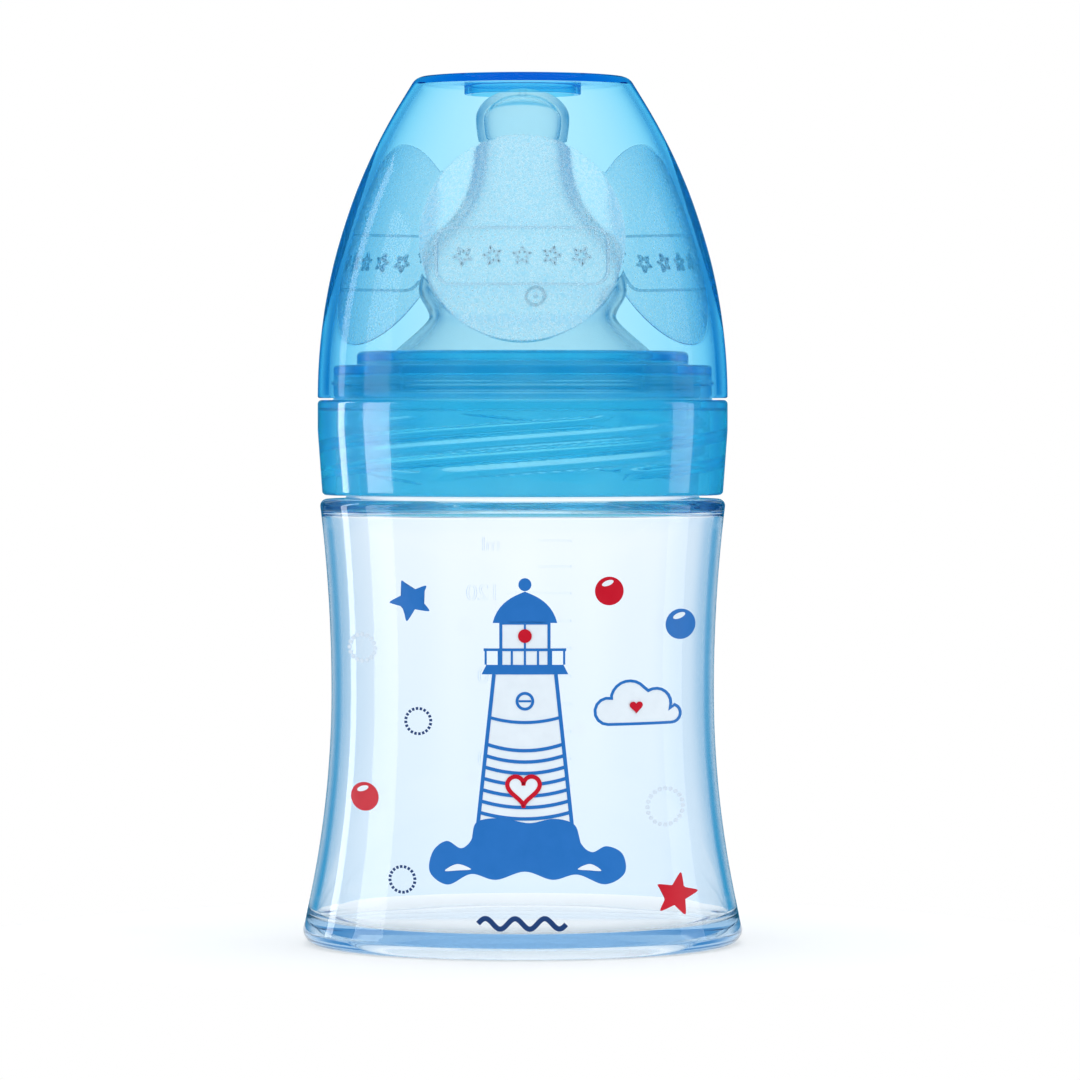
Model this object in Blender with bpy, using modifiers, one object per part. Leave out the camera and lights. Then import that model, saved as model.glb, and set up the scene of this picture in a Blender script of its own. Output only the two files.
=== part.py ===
"""Waisted wide-neck baby bottle: body, soft teat, screw collar and push-on dome cap.

The bottle stands on z = 0 with its axis on Z. Lengths are in metres, angles in degrees
where a name says so. Each turned piece is a profile of (radius, height) points with a
Screw modifier, and each profile runs down its outer side from top to bottom.
"""

from math import asin, copysign, cos, pi, radians, sin, sqrt, tan

import bmesh
import bpy
from mathutils import Matrix, Vector

# ---------------------------------------------------------------- driving dimensions
SIDES = 40  # facets round a hard piece
TEAT_SIDES = 32  # facets round the teat
FIT_GAP = 0.0003  # between faces that rest on each other

# Bottle body
BASE_RADIUS = 0.0330
BASE_CORNER = 0.0022
FOOT_WIDTH = 0.0022
PUSH_UP = 0.0016  # how far the base is pushed up inside its foot ring
FLOOR = 0.0020
WALL = 0.0015
WAIST_INSET = 0.0043  # base radius less waist radius
WAIST_HEIGHT = 0.0380
SHOULDER_HEIGHT = 0.0667
SHOULDER_WIDTH = 0.0041  # shoulder radius less neck radius
SHOULDER_CORNER = 0.0010

# Neck and its thread
NECK_RADIUS = 0.0264
NECK_WALL = 0.0018
NECK_HEIGHT = 0.0159
THREAD_STARTS = 3
THREAD_PITCH = 0.0040  # from one ridge to the next, up the neck
THREAD_CLEARANCE = 0.0003  # between the neck's ridges and the collar's, up the neck
THREAD_STAND = 0.0004  # how far a ridge's centre stands off its wall
THREAD_ROOT_GAP = 0.00055  # from a ridge's crest to the other piece's wall
THREAD_START_HEIGHT = 0.0038  # the ridges' lower ends, above the shoulder
THREAD_END_GAP = 0.00065

# Teat
FLANGE_OVERHANG = 0.0002  # flange radius less neck radius
FLANGE_THICKNESS = 0.0020
STEP_HEIGHT = 0.0021  # raised middle of the flange, under the collar's lip
TEAT_WALL = 0.0015
STEP_WIDTH = 0.0038  # from the step's edge in to the teat's foot
TEAT_FOOT_HEIGHT = 0.0038  # above the flange's top; each rise below is above the one before
TEAT_TUCK_RADIUS = 0.0140
TEAT_TUCK_RISE = 0.0053
TEAT_BELL_RADIUS = 0.0156
TEAT_BELL_RISE = 0.0040
TEAT_SHOULDER_RADIUS = 0.0119
TEAT_SHOULDER_RISE = 0.0080
NIPPLE_WAIST_RADIUS = 0.00665
NIPPLE_WAIST_RISE = 0.0132
NIPPLE_RADIUS = 0.0070
NIPPLE_RISE = 0.0044
CROWN_RISE = 0.0046
FLOW_HOLE_RADIUS = 0.0005

# Collar
COLLAR_LIFT = 0.0006  # skirt's lower edge above the shoulder
COLLAR_TAPER = 0.0007  # how much the skirt narrows at its lower edge
COLLAR_STRAIGHT = 0.0045  # upper stretch of the skirt that is not tapered
COLLAR_TOP_WALL = 0.0015
TIER_HEIGHT = 0.0052  # step that the cap goes over
LIP_OVER_BORE = 0.0003  # lip radius less the neck's bore radius
TEAT_OPENING_GAP = 0.0004
BEAD_RADIUS = 0.00045  # snap bead round the tier
BEAD_HEIGHT = 0.0025  # above the ledge

# Cap
CAP_BEAD_GAP = 0.0003
CAP_WALL = 0.0016
CAP_TOP_RADIUS = 0.0158
CAP_TOP_WALL = 0.0013
CAP_TOP_CORNER = 0.0020
TIP_GAP = 0.0004  # between the teat's tip and the cap's ceiling
RING_RADIUS = 0.00875  # sealing ring under the cap's top
RING_WALL = 0.0010
RING_DEPTH = 0.0014
OVAL_COUNT = 3
OVAL_RADIUS = 0.0155
OVAL_HEIGHT = 0.0234  # centre of each frosted oval above the cap's lower edge
OVAL_DEPTH = 0.0003

# ---------------------------------------------------------------- derived dimensions
WAIST_RADIUS = BASE_RADIUS - WAIST_INSET
SHOULDER_RADIUS = NECK_RADIUS + SHOULDER_WIDTH
NECK_BORE = NECK_RADIUS - NECK_WALL
RIM_Z = SHOULDER_HEIGHT + NECK_HEIGHT

FLANGE_RADIUS = NECK_RADIUS + FLANGE_OVERHANG
FLANGE_Z = RIM_Z + FIT_GAP
FLANGE_TOP_Z = FLANGE_Z + FLANGE_THICKNESS
FOOT_Z = FLANGE_TOP_Z + TEAT_FOOT_HEIGHT
TUCK_Z = FOOT_Z + TEAT_TUCK_RISE
BELL_Z = TUCK_Z + TEAT_BELL_RISE
TEAT_SHOULDER_Z = BELL_Z + TEAT_SHOULDER_RISE
NIPPLE_WAIST_Z = TEAT_SHOULDER_Z + NIPPLE_WAIST_RISE
NIPPLE_Z = NIPPLE_WAIST_Z + NIPPLE_RISE
TIP_Z = NIPPLE_Z + CROWN_RISE

TIER_BORE = FLANGE_RADIUS + FIT_GAP
TIER_RADIUS = TIER_BORE + COLLAR_TOP_WALL
TIER_TOP_Z = FLANGE_TOP_Z + FIT_GAP + COLLAR_TOP_WALL
LEDGE_Z = TIER_TOP_Z - TIER_HEIGHT
LIP_RADIUS = NECK_BORE + LIP_OVER_BORE
LIP_BORE = LIP_RADIUS - COLLAR_TOP_WALL
STEP_RADIUS = LIP_BORE - FIT_GAP
TEAT_FOOT_RADIUS = STEP_RADIUS - STEP_WIDTH
LIP_TOP_Z = FLANGE_TOP_Z + STEP_HEIGHT + FIT_GAP + COLLAR_TOP_WALL
OPENING_RADIUS = TEAT_FOOT_RADIUS + TEAT_OPENING_GAP

CAP_BORE = TIER_RADIUS + BEAD_RADIUS + CAP_BEAD_GAP
CAP_RADIUS = CAP_BORE + CAP_WALL
CAP_Z = LEDGE_Z + FIT_GAP
CAP_CEILING_Z = TIP_Z + TIP_GAP
CAP_TOP_Z = CAP_CEILING_Z + CAP_TOP_WALL

COLLAR_Z = SHOULDER_HEIGHT + COLLAR_LIFT
RIDGE_RADIUS = (THREAD_PITCH / 2 - THREAD_CLEARANCE) / 2
RIDGE_CREST = THREAD_STAND + RIDGE_RADIUS
COLLAR_BORE = NECK_RADIUS + RIDGE_CREST + THREAD_ROOT_GAP
COLLAR_BORE_TOP_Z = LEDGE_Z - COLLAR_TOP_WALL
THREAD_LEAD = THREAD_PITCH * THREAD_STARTS
THREAD_Z = SHOULDER_HEIGHT + THREAD_START_HEIGHT
THREAD_RISE = COLLAR_BORE_TOP_Z - THREAD_END_GAP - RIDGE_RADIUS - THREAD_Z

# ---------------------------------------------------------------- finishes
FINISHES = {  # colour, roughness, metallic
    "bottle": ((0.62, 0.80, 0.95, 1.0), 0.08, 0.0),
    "teat": ((0.84, 0.88, 0.92, 1.0), 0.30, 0.0),
    "collar": ((0.07, 0.48, 0.86, 1.0), 0.12, 0.0),
    "cap": ((0.20, 0.63, 0.90, 1.0), 0.12, 0.0),
}


# ---------------------------------------------------------------- outlines
def bezier(start, handle_a, handle_b, end, count):
    """Points along a cubic curve, without its first."""
    points = []
    for i in range(1, count + 1):
        t = i / count
        u = 1 - t
        weights = (u**3, 3 * u * u * t, 3 * u * t * t, t**3)
        corners = (start, handle_a, handle_b, end)
        points.append(
            tuple(sum(w * c[axis] for w, c in zip(weights, corners)) for axis in (0, 1))
        )
    return points


def fillet(before, corner, after, radius, count):
    """Arc that rounds one corner of an outline, no longer than half of either side."""
    corner = Vector(corner)
    back = Vector(before) - corner
    ahead = Vector(after) - corner
    half_angle = back.angle(ahead) / 2
    reach = min(radius / tan(half_angle), 0.48 * back.length, 0.48 * ahead.length)
    radius = reach * tan(half_angle)
    middle = (back.normalized() + ahead.normalized()).normalized()
    centre = corner + middle * (radius / sin(half_angle))
    first = corner + back.normalized() * reach - centre
    sweep = first.angle_signed(corner + ahead.normalized() * reach - centre)
    points = []
    for i in range(count + 1):
        turn = -sweep * i / count
        x = first.x * cos(turn) - first.y * sin(turn)
        y = first.x * sin(turn) + first.y * cos(turn)
        points.append((centre.x + x, centre.y + y))
    return points


def rounded(corners, closed):
    """Outline from (radius, height, fillet radius) corners, a fillet of 0 being a plain point."""
    outline = []
    last = len(corners) - 1
    for i, (r, z, radius) in enumerate(corners):
        if radius == 0 or (not closed and i in (0, last)):
            outline.append((r, z))
            continue
        before = corners[i - 1][:2]
        after = corners[(i + 1) % len(corners)][:2]
        count = 1 + (radius > 0.00045) + (radius > 0.0010)
        outline += fillet(before, (r, z), after, radius, count)
    return outline


def plain(points):
    return [(r, z, 0) for r, z in points]


def inset(points, distance):
    """The same curve moved in from its outer side, for a wall of even thickness."""
    moved = []
    for i, (r, z) in enumerate(points):
        before = points[max(i - 1, 0)]
        after = points[min(i + 1, len(points) - 1)]
        along = Vector((after[0] - before[0], after[1] - before[1])).normalized()
        moved.append((r + along.y * distance, z - along.x * distance))
    return moved


def arc_bow(height, inset_there, rise):
    """How far an arc that starts upright has leant over after a rise, if it leans over
    by inset_there at the full height. Either may lean in or out."""
    if inset_there == 0:
        return 0
    radius = (height**2 + inset_there**2) / (2 * inset_there)
    return radius - copysign(sqrt(radius**2 - rise**2), radius)


def body_radius(z):
    """Outside of the body: two arcs that meet upright at the waist."""
    if z < WAIST_HEIGHT:
        height = WAIST_HEIGHT - BASE_CORNER
        return WAIST_RADIUS + arc_bow(height, WAIST_INSET, min(WAIST_HEIGHT - z, height))
    flare = SHOULDER_RADIUS - WAIST_RADIUS
    return WAIST_RADIUS + arc_bow(SHOULDER_HEIGHT - WAIST_HEIGHT, flare, z - WAIST_HEIGHT)


def cap_radius(z):
    """Outside of the cap: one arc, upright at the lower edge."""
    height = CAP_TOP_Z - CAP_Z
    return CAP_RADIUS - arc_bow(height, CAP_RADIUS - CAP_TOP_RADIUS, z - CAP_Z)


def steps_between(high, low, count):
    """Heights from just under high to just over low, from the top down."""
    return [high + (low - high) * i / (count + 1) for i in range(1, count + 1)]


# ---------------------------------------------------------------- object helpers
def clear_scene():
    for thing in list(bpy.data.objects):
        bpy.data.objects.remove(thing, do_unlink=True)


def new_collection(name):
    collection = bpy.data.collections.new(name)
    bpy.context.scene.collection.children.link(collection)
    return collection


def finish_material(name):
    colour, roughness, metallic = FINISHES[name]
    material = bpy.data.materials.new(name)
    material.use_nodes = True
    shader = material.node_tree.nodes["Principled BSDF"]
    shader.inputs["Base Color"].default_value = colour
    shader.inputs["Roughness"].default_value = roughness
    shader.inputs["Metallic"].default_value = metallic
    material.diffuse_color = colour
    return material


def turned(name, outline, closed, sides, collection):
    """Solid of revolution about Z from a (radius, height) outline."""
    mesh = bpy.data.meshes.new(name)
    edges = [(i, i + 1) for i in range(len(outline) - 1)]
    if closed:
        edges.append((len(outline) - 1, 0))
    mesh.from_pydata([(r, 0, z) for r, z in outline], edges, [])
    thing = bpy.data.objects.new(name, mesh)
    collection.objects.link(thing)
    screw = thing.modifiers.new("turn", "SCREW")
    screw.axis = "Z"
    screw.steps = sides
    screw.render_steps = sides
    screw.use_merge_vertices = True
    screw.merge_threshold = 0.00001
    screw.use_smooth_shade = True
    return thing


def as_tool(thing):
    thing.hide_render = True
    thing.display_type = "WIRE"


def combine(thing, tool, operation):
    boolean = thing.modifiers.new(tool.name, "BOOLEAN")
    boolean.operation = operation
    boolean.solver = "EXACT"
    boolean.object = tool


def mesh_from_curve(curve, name, collection):
    """Mesh object in the curve's place, with the loose caps welded on."""
    graph = bpy.context.evaluated_depsgraph_get()
    mesh = bpy.data.meshes.new_from_object(curve.evaluated_get(graph))
    work = bmesh.new()
    work.from_mesh(mesh)
    bmesh.ops.remove_doubles(work, verts=work.verts, dist=0.000001)
    bmesh.ops.recalc_face_normals(work, faces=work.faces)
    work.to_mesh(mesh)
    work.free()
    thing = bpy.data.objects.new(name, mesh)
    thing.matrix_world = curve.matrix_world
    collection.objects.link(thing)
    bpy.data.objects.remove(curve, do_unlink=True)
    return thing


def thread_ridges(name, radius, first_angle, collection):
    """Right-handed ridges on a wall, one for each start, with tapered ends."""
    data = bpy.data.curves.new(name, "CURVE")
    data.dimensions = "3D"
    data.bevel_depth = RIDGE_RADIUS
    data.bevel_resolution = 1
    data.use_fill_caps = True
    turn = 2 * pi * THREAD_RISE / THREAD_LEAD
    count = round(SIDES * turn / (2 * pi)) + 1
    for start in range(THREAD_STARTS):
        spline = data.splines.new("POLY")
        spline.points.add(count - 1)
        for i, point in enumerate(spline.points):
            share = i / (count - 1)
            angle = first_angle + 2 * pi * start / THREAD_STARTS + share * turn
            z = THREAD_Z + share * THREAD_RISE
            point.co = (radius * cos(angle), radius * sin(angle), z, 1)
            point.radius = min(1, 0.6 + 0.15 * min(i, count - 1 - i))
    curve = bpy.data.objects.new(name, data)
    collection.objects.link(curve)
    bpy.context.view_layer.update()
    ridges = mesh_from_curve(curve, name, collection)
    as_tool(ridges)
    return ridges


# ---------------------------------------------------------------- pieces
def make_bottle(pieces, tools):
    shoulder_side = SHOULDER_HEIGHT - 2 * SHOULDER_CORNER
    side = [shoulder_side] + steps_between(shoulder_side, BASE_CORNER, 8)
    foot_outer = BASE_RADIUS - BASE_CORNER
    foot_inner = foot_outer - FOOT_WIDTH
    ceiling = SHOULDER_HEIGHT - WALL
    floor = PUSH_UP + FLOOR
    corners = [(0, floor, 0), (BASE_RADIUS - WALL - 0.0002, floor, 0.003)]
    inner_side = [z for z in reversed(side) if floor + 0.003 < z < ceiling - 0.0015]
    corners += plain((body_radius(z) - WALL, z) for z in inner_side)
    corners += [
        (SHOULDER_RADIUS - WALL, ceiling, 0.0016),
        (NECK_BORE, ceiling + 0.0004, 0.0008),
        (NECK_BORE, RIM_Z, 0.0004),
        (NECK_RADIUS, RIM_Z, 0.0005),
        (NECK_RADIUS, SHOULDER_HEIGHT, 0.0006),
        (SHOULDER_RADIUS, SHOULDER_HEIGHT, SHOULDER_CORNER),
    ]
    corners += plain((body_radius(z), z) for z in side)
    for i in range(4):
        angle = radians(30 * i)
        corner_in = BASE_CORNER * (1 - cos(angle))
        corners.append((BASE_RADIUS - corner_in, BASE_CORNER * (1 - sin(angle)), 0))
    corners += [
        (foot_inner, 0, 0.0004),
        (foot_inner - PUSH_UP * 0.6, PUSH_UP, 0.0005),
        (0, PUSH_UP, 0),
    ]
    bottle = turned("bottle", rounded(corners, False), False, SIDES, pieces)
    ridges = thread_ridges("neck_thread", NECK_RADIUS + THREAD_STAND, 0, tools)
    combine(bottle, ridges, "UNION")
    return bottle


def teat_curve():
    """Outside of the teat from its foot up to the flow hole."""
    foot = (TEAT_FOOT_RADIUS, FOOT_Z)
    tuck = (TEAT_TUCK_RADIUS, TUCK_Z)
    bell = (TEAT_BELL_RADIUS, BELL_Z)
    shoulder = (TEAT_SHOULDER_RADIUS, TEAT_SHOULDER_Z)
    waist = (NIPPLE_WAIST_RADIUS, NIPPLE_WAIST_Z)
    bulb = (NIPPLE_RADIUS, NIPPLE_Z)
    lean = (TEAT_BELL_RADIUS - TEAT_SHOULDER_RADIUS) / 2
    drop = TEAT_SHOULDER_RISE / 4
    spread = 0.3 * TEAT_TUCK_RISE
    stretches = (
        (foot, (-spread, spread), (0, -0.2 * TEAT_TUCK_RISE), tuck, 3),
        (tuck, (0, 0.3 * TEAT_BELL_RISE), (0, -0.4 * TEAT_BELL_RISE), bell, 2),
        (bell, (0, 0.4 * TEAT_SHOULDER_RISE), (lean, -drop), shoulder, 4),
        (shoulder, (-lean * 1.5, drop * 1.1), (0, -0.58 * NIPPLE_WAIST_RISE), waist, 6),
        (waist, (0, 0.5 * NIPPLE_RISE), (0, -0.5 * NIPPLE_RISE), bulb, 2),
    )
    points = [foot]
    for start, leave, arrive, end, count in stretches:
        handle_a = (start[0] + leave[0], start[1] + leave[1])
        handle_b = (end[0] + arrive[0], end[1] + arrive[1])
        points += bezier(start, handle_a, handle_b, end, count)
    hole_angle = asin(FLOW_HOLE_RADIUS / NIPPLE_RADIUS)
    for i in range(1, 6):
        angle = pi / 2 - (pi / 2 - hole_angle) * i / 5
        points.append((NIPPLE_RADIUS * sin(angle), NIPPLE_Z + CROWN_RISE * cos(angle)))
    return points


def make_teat(pieces):
    outer = teat_curve()
    inner = [p for p in inset(outer, -TEAT_WALL) if p[0] > FLOW_HOLE_RADIUS]
    inner[-1] = (FLOW_HOLE_RADIUS, inner[-1][1])
    step_top = FLANGE_TOP_Z + STEP_HEIGHT
    mouth = TEAT_FOOT_RADIUS - TEAT_WALL
    corners = plain(reversed(outer))
    corners += [
        (TEAT_FOOT_RADIUS, step_top, 0.0004),
        (STEP_RADIUS, step_top, 0.0004),
        (STEP_RADIUS, FLANGE_TOP_Z, 0),
        (FLANGE_RADIUS, FLANGE_TOP_Z, 0.0004),
        (FLANGE_RADIUS, FLANGE_Z, 0.0004),
        (mouth, FLANGE_Z, 0.0010),
    ]
    corners += plain(inner)
    return turned("teat", rounded(corners, True), True, TEAT_SIDES, pieces)


def make_collar(pieces, tools):
    taper_z = LEDGE_Z - COLLAR_STRAIGHT
    lip_under = LIP_TOP_Z - COLLAR_TOP_WALL
    tier_under = TIER_TOP_Z - COLLAR_TOP_WALL
    bead_z = LEDGE_Z + BEAD_HEIGHT
    corners = [
        (OPENING_RADIUS, LIP_TOP_Z, 0.0004),
        (LIP_RADIUS, LIP_TOP_Z, 0.0008),
        (LIP_RADIUS, TIER_TOP_Z, 0.0003),
        (TIER_RADIUS, TIER_TOP_Z, 0.0005),
        (TIER_RADIUS, bead_z + BEAD_RADIUS, 0),
        (TIER_RADIUS + BEAD_RADIUS, bead_z, 0.0002),
        (TIER_RADIUS, bead_z - BEAD_RADIUS, 0),
        (TIER_RADIUS, LEDGE_Z, 0.0002),
        (CAP_RADIUS, LEDGE_Z, 0.0005),
        (CAP_RADIUS, taper_z, 0),
        (CAP_RADIUS - COLLAR_TAPER, COLLAR_Z, 0.0006),
        (COLLAR_BORE, COLLAR_Z, 0.0006),
        (COLLAR_BORE, COLLAR_BORE_TOP_Z, 0.0004),
        (TIER_BORE, COLLAR_BORE_TOP_Z, 0.0003),
        (TIER_BORE, tier_under, 0.0003),
        (LIP_BORE, tier_under, 0.0003),
        (LIP_BORE, lip_under, 0.0003),
        (OPENING_RADIUS, lip_under, 0.0003),
    ]
    collar = turned("collar", rounded(corners, True), True, SIDES, pieces)
    between_starts = pi / THREAD_STARTS
    ridges = thread_ridges("collar_thread", COLLAR_BORE - THREAD_STAND, between_starts, tools)
    combine(collar, ridges, "UNION")
    return collar


def make_oval_cutter(tools):
    """Rods that reach the cap's three ovals, less a core that leaves the ovals' floor."""
    top = CAP_TOP_Z - CAP_TOP_CORNER
    heights = steps_between(top, CAP_Z, 9)
    core_corners = [(0, top, 0)]
    core_corners += plain((cap_radius(z) - OVAL_DEPTH, z) for z in heights)
    core_corners += [(0, heights[-1], 0)]
    core = turned("oval_core", rounded(core_corners, False), False, SIDES, tools)
    as_tool(core)
    work = bmesh.new()
    reach = CAP_RADIUS + 0.005
    for i in range(OVAL_COUNT):
        made = bmesh.ops.create_cone(
            work, cap_ends=True, segments=36, radius1=OVAL_RADIUS, radius2=OVAL_RADIUS, depth=reach
        )
        angle = -pi / 2 + 2 * pi * i / OVAL_COUNT
        place = Matrix.Rotation(angle, 4, "Z") @ Matrix.Translation((reach / 2 + 0.012, 0, 0))
        place = Matrix.Translation((0, 0, CAP_Z + OVAL_HEIGHT)) @ place
        place = place @ Matrix.Rotation(radians(90), 4, "Y")
        bmesh.ops.transform(work, matrix=place, verts=made["verts"])
    mesh = bpy.data.meshes.new("oval_cutter")
    work.to_mesh(mesh)
    work.free()
    cutter = bpy.data.objects.new("oval_cutter", mesh)
    tools.objects.link(cutter)
    combine(cutter, core, "DIFFERENCE")
    as_tool(cutter)
    return cutter


def make_cap(pieces, tools):
    side = steps_between(CAP_TOP_Z - CAP_TOP_CORNER, CAP_Z, 9)
    ring_inner = RING_RADIUS - RING_WALL
    corners = [(0, CAP_TOP_Z, 0), (cap_radius(CAP_TOP_Z - 0.0002), CAP_TOP_Z, CAP_TOP_CORNER)]
    corners += plain((cap_radius(z), z) for z in side)
    corners += [(CAP_RADIUS, CAP_Z, 0.0004), (CAP_BORE, CAP_Z, 0.0004)]
    corners += plain((cap_radius(z) - CAP_WALL, z) for z in reversed(side))
    corners += [
        (cap_radius(CAP_CEILING_Z) - CAP_WALL, CAP_CEILING_Z, 0.0010),
        (RING_RADIUS, CAP_CEILING_Z, 0),
        (RING_RADIUS, CAP_CEILING_Z - RING_DEPTH, 0),
        (ring_inner, CAP_CEILING_Z - RING_DEPTH, 0),
        (ring_inner, CAP_CEILING_Z, 0),
        (0, CAP_CEILING_Z, 0),
    ]
    cap = turned("cap", rounded(corners, False), False, SIDES, pieces)
    combine(cap, make_oval_cutter(tools), "DIFFERENCE")
    return cap


def main():
    clear_scene()
    pieces = new_collection("baby_bottle")
    tools = new_collection("cutters")
    made = [
        make_bottle(pieces, tools),
        make_teat(pieces),
        make_collar(pieces, tools),
        make_cap(pieces, tools),
    ]
    for thing in made:
        thing.data.materials.append(finish_material(thing.name))


main()
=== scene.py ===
"""Waisted baby bottle with a soft teat, a screw collar and a clear dome cap.

Every piece is turned or wrapped at its real size round the Z axis, in metres, and stands in the
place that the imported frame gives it. Artwork is drawn flat in millimetres and wrapped on its wall.
"""

from math import asin, ceil, cos, degrees, hypot, pi, radians, sin, sqrt, tan

import bmesh
import bpy
from bpy.props import FloatProperty, FloatVectorProperty, IntProperty, PointerProperty
from bpy.types import Operator, Panel, PropertyGroup
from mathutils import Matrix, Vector


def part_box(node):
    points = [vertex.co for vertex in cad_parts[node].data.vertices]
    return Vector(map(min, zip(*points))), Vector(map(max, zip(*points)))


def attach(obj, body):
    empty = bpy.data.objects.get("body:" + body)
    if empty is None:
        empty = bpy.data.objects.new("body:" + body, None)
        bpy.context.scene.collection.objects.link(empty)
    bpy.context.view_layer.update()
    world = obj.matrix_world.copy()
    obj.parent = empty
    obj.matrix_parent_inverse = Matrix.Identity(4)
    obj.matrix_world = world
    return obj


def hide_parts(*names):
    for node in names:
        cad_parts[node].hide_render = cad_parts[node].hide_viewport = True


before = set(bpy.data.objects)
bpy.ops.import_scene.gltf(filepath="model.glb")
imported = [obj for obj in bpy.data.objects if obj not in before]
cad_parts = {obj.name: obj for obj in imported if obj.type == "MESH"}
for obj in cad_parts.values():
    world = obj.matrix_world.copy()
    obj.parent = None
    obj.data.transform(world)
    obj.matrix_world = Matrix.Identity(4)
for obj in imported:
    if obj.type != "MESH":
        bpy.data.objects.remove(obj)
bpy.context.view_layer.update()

bl_info = {
    "name": "Baby Bottle",
    "version": (1, 0, 0),
    "blender": (4, 5, 0),
    "location": "3D View > Sidebar > Baby Bottle",
    "description": "Makes a waisted baby bottle with its teat, screw collar and clear cap",
    "category": "Add Mesh",
}

MM = 0.001
BOTTLE_LOW, BOTTLE_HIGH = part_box("bottle")
TEAT_LOW, TEAT_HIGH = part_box("teat")
COLLAR_LOW, COLLAR_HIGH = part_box("collar")
CAP_LOW, CAP_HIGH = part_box("cap")


# ---------------------------------------------------------------- what a user may change
def length(name, default, description):
    return FloatProperty(
        name=name, default=default, description=description, unit="LENGTH", precision=5
    )


def colour(name, default, description):
    return FloatVectorProperty(
        name=name, default=default, description=description, subtype="COLOR", size=3, min=0, max=1
    )


def number(name, default, description):
    return FloatProperty(name=name, default=default, description=description, min=0)


class BodySizes(PropertyGroup):
    base_radius: length("Base radius", BOTTLE_HIGH.x, "Widest radius, at the foot")
    base_corner: length("Base corner", 0.0022, "Rounding under the foot")
    foot_width: length("Foot width", 0.0022, "Flat ring that the bottle stands on")
    push_up: length("Push-up", 0.0016, "How far the base is pushed up inside its foot ring")
    floor: length("Floor", 0.0020, "Thickness of the floor")
    wall: length("Wall", 0.0015, "Thickness of the side")
    waist_radius: length("Waist radius", 0.0287, "Narrowest radius of the grip")
    waist_height: length("Waist height", 0.0380, "Height of the narrowest grip")
    shoulder_radius: length("Shoulder radius", 0.0305, "Radius where the side ends")
    shoulder_height: length("Shoulder height", 0.0667, "Height where the side ends")
    shoulder_corner: length("Shoulder corner", 0.0015, "Rounding of the shoulder")
    neck_radius: length("Neck radius", 0.0264, "Outside of the neck, without its thread")
    neck_wall: length("Neck wall", 0.0018, "Thickness of the neck")
    rim_height: length("Rim height", BOTTLE_HIGH.z, "Height of the neck's rim")


class ThreadSizes(PropertyGroup):
    starts: IntProperty(name="Starts", default=3, min=1, description="Ridges side by side")
    lead: length("Lead", 0.0120, "Rise of a ridge in one turn")
    crest: length("Crest", 0.00125, "How far a ridge stands off its wall")
    half_width: length("Half width", 0.00085, "Half the width of a ridge")
    low: length("Lower end", 0.0705, "Height of the ridges' lower ends")
    rise: length("Rise", 0.0080, "Height that a ridge climbs")


class TeatSizes(PropertyGroup):
    flange_thickness: length("Flange", 0.0020, "Thickness of the clamped rim")
    step_height: length("Step height", 0.0021, "Raised middle of the flange")
    step_radius: length("Step radius", 0.0231, "Edge of the raised middle")
    wall: length("Wall", 0.0015, "Thickness of the silicone")
    foot_radius: length("Foot radius", 0.0193, "Where the bell starts")
    foot_rise: length("Foot rise", 0.0038, "Height of the bell's foot above the flange")
    tuck_radius: length("Tuck radius", 0.0140, "Narrow fold under the bell")
    tuck_rise: length("Tuck rise", 0.0053, "Height of the fold above the foot")
    bell_radius: length("Bell radius", 0.0156, "Widest part of the bell")
    bell_rise: length("Bell rise", 0.0040, "Height of the bell above the fold")
    shoulder_radius: length("Shoulder radius", 0.0119, "Where the bell turns into the nipple")
    shoulder_rise: length("Shoulder rise", 0.0080, "Height of the shoulder above the bell")
    waist_radius: length("Nipple waist", 0.00665, "Narrowest part of the nipple")
    waist_rise: length("Nipple waist rise", 0.0132, "Height of the nipple waist above the shoulder")
    nipple_radius: length("Nipple radius", 0.0070, "Round end of the nipple")
    nipple_rise: length("Nipple rise", 0.0044, "Height of the round end above its waist")
    hole_radius: length("Flow hole", 0.0005, "Radius of the flow hole")
    vent_radius: length("Vent ring", 0.0013, "Radius of the moulded rings round the air vents")


class CollarSizes(PropertyGroup):
    taper: length("Taper", 0.0007, "How much the skirt narrows at its lower edge")
    straight: length("Straight part", 0.0045, "Upper part of the skirt that is not tapered")
    bore: length("Bore", 0.0282, "Inside of the skirt")
    top_wall: length("Top wall", 0.0015, "Thickness of the tier and the lip")
    ledge_height: length("Ledge height", CAP_LOW.z - 0.0003, "Height of the ledge under the cap")
    tier_radius: length("Tier radius", 0.0284, "Step that the cap goes over")
    tier_height: length("Tier top", 0.0867, "Height of the step's top")
    bead: length("Snap bead", 0.00045, "How far the bead stands off the step")
    bead_rise: length("Bead rise", 0.0025, "Height of the bead above the ledge")
    lip_radius: length("Lip radius", 0.0249, "Raised lip that holds the teat")
    opening: length("Opening", 0.0197, "Hole that the teat comes through")


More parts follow.
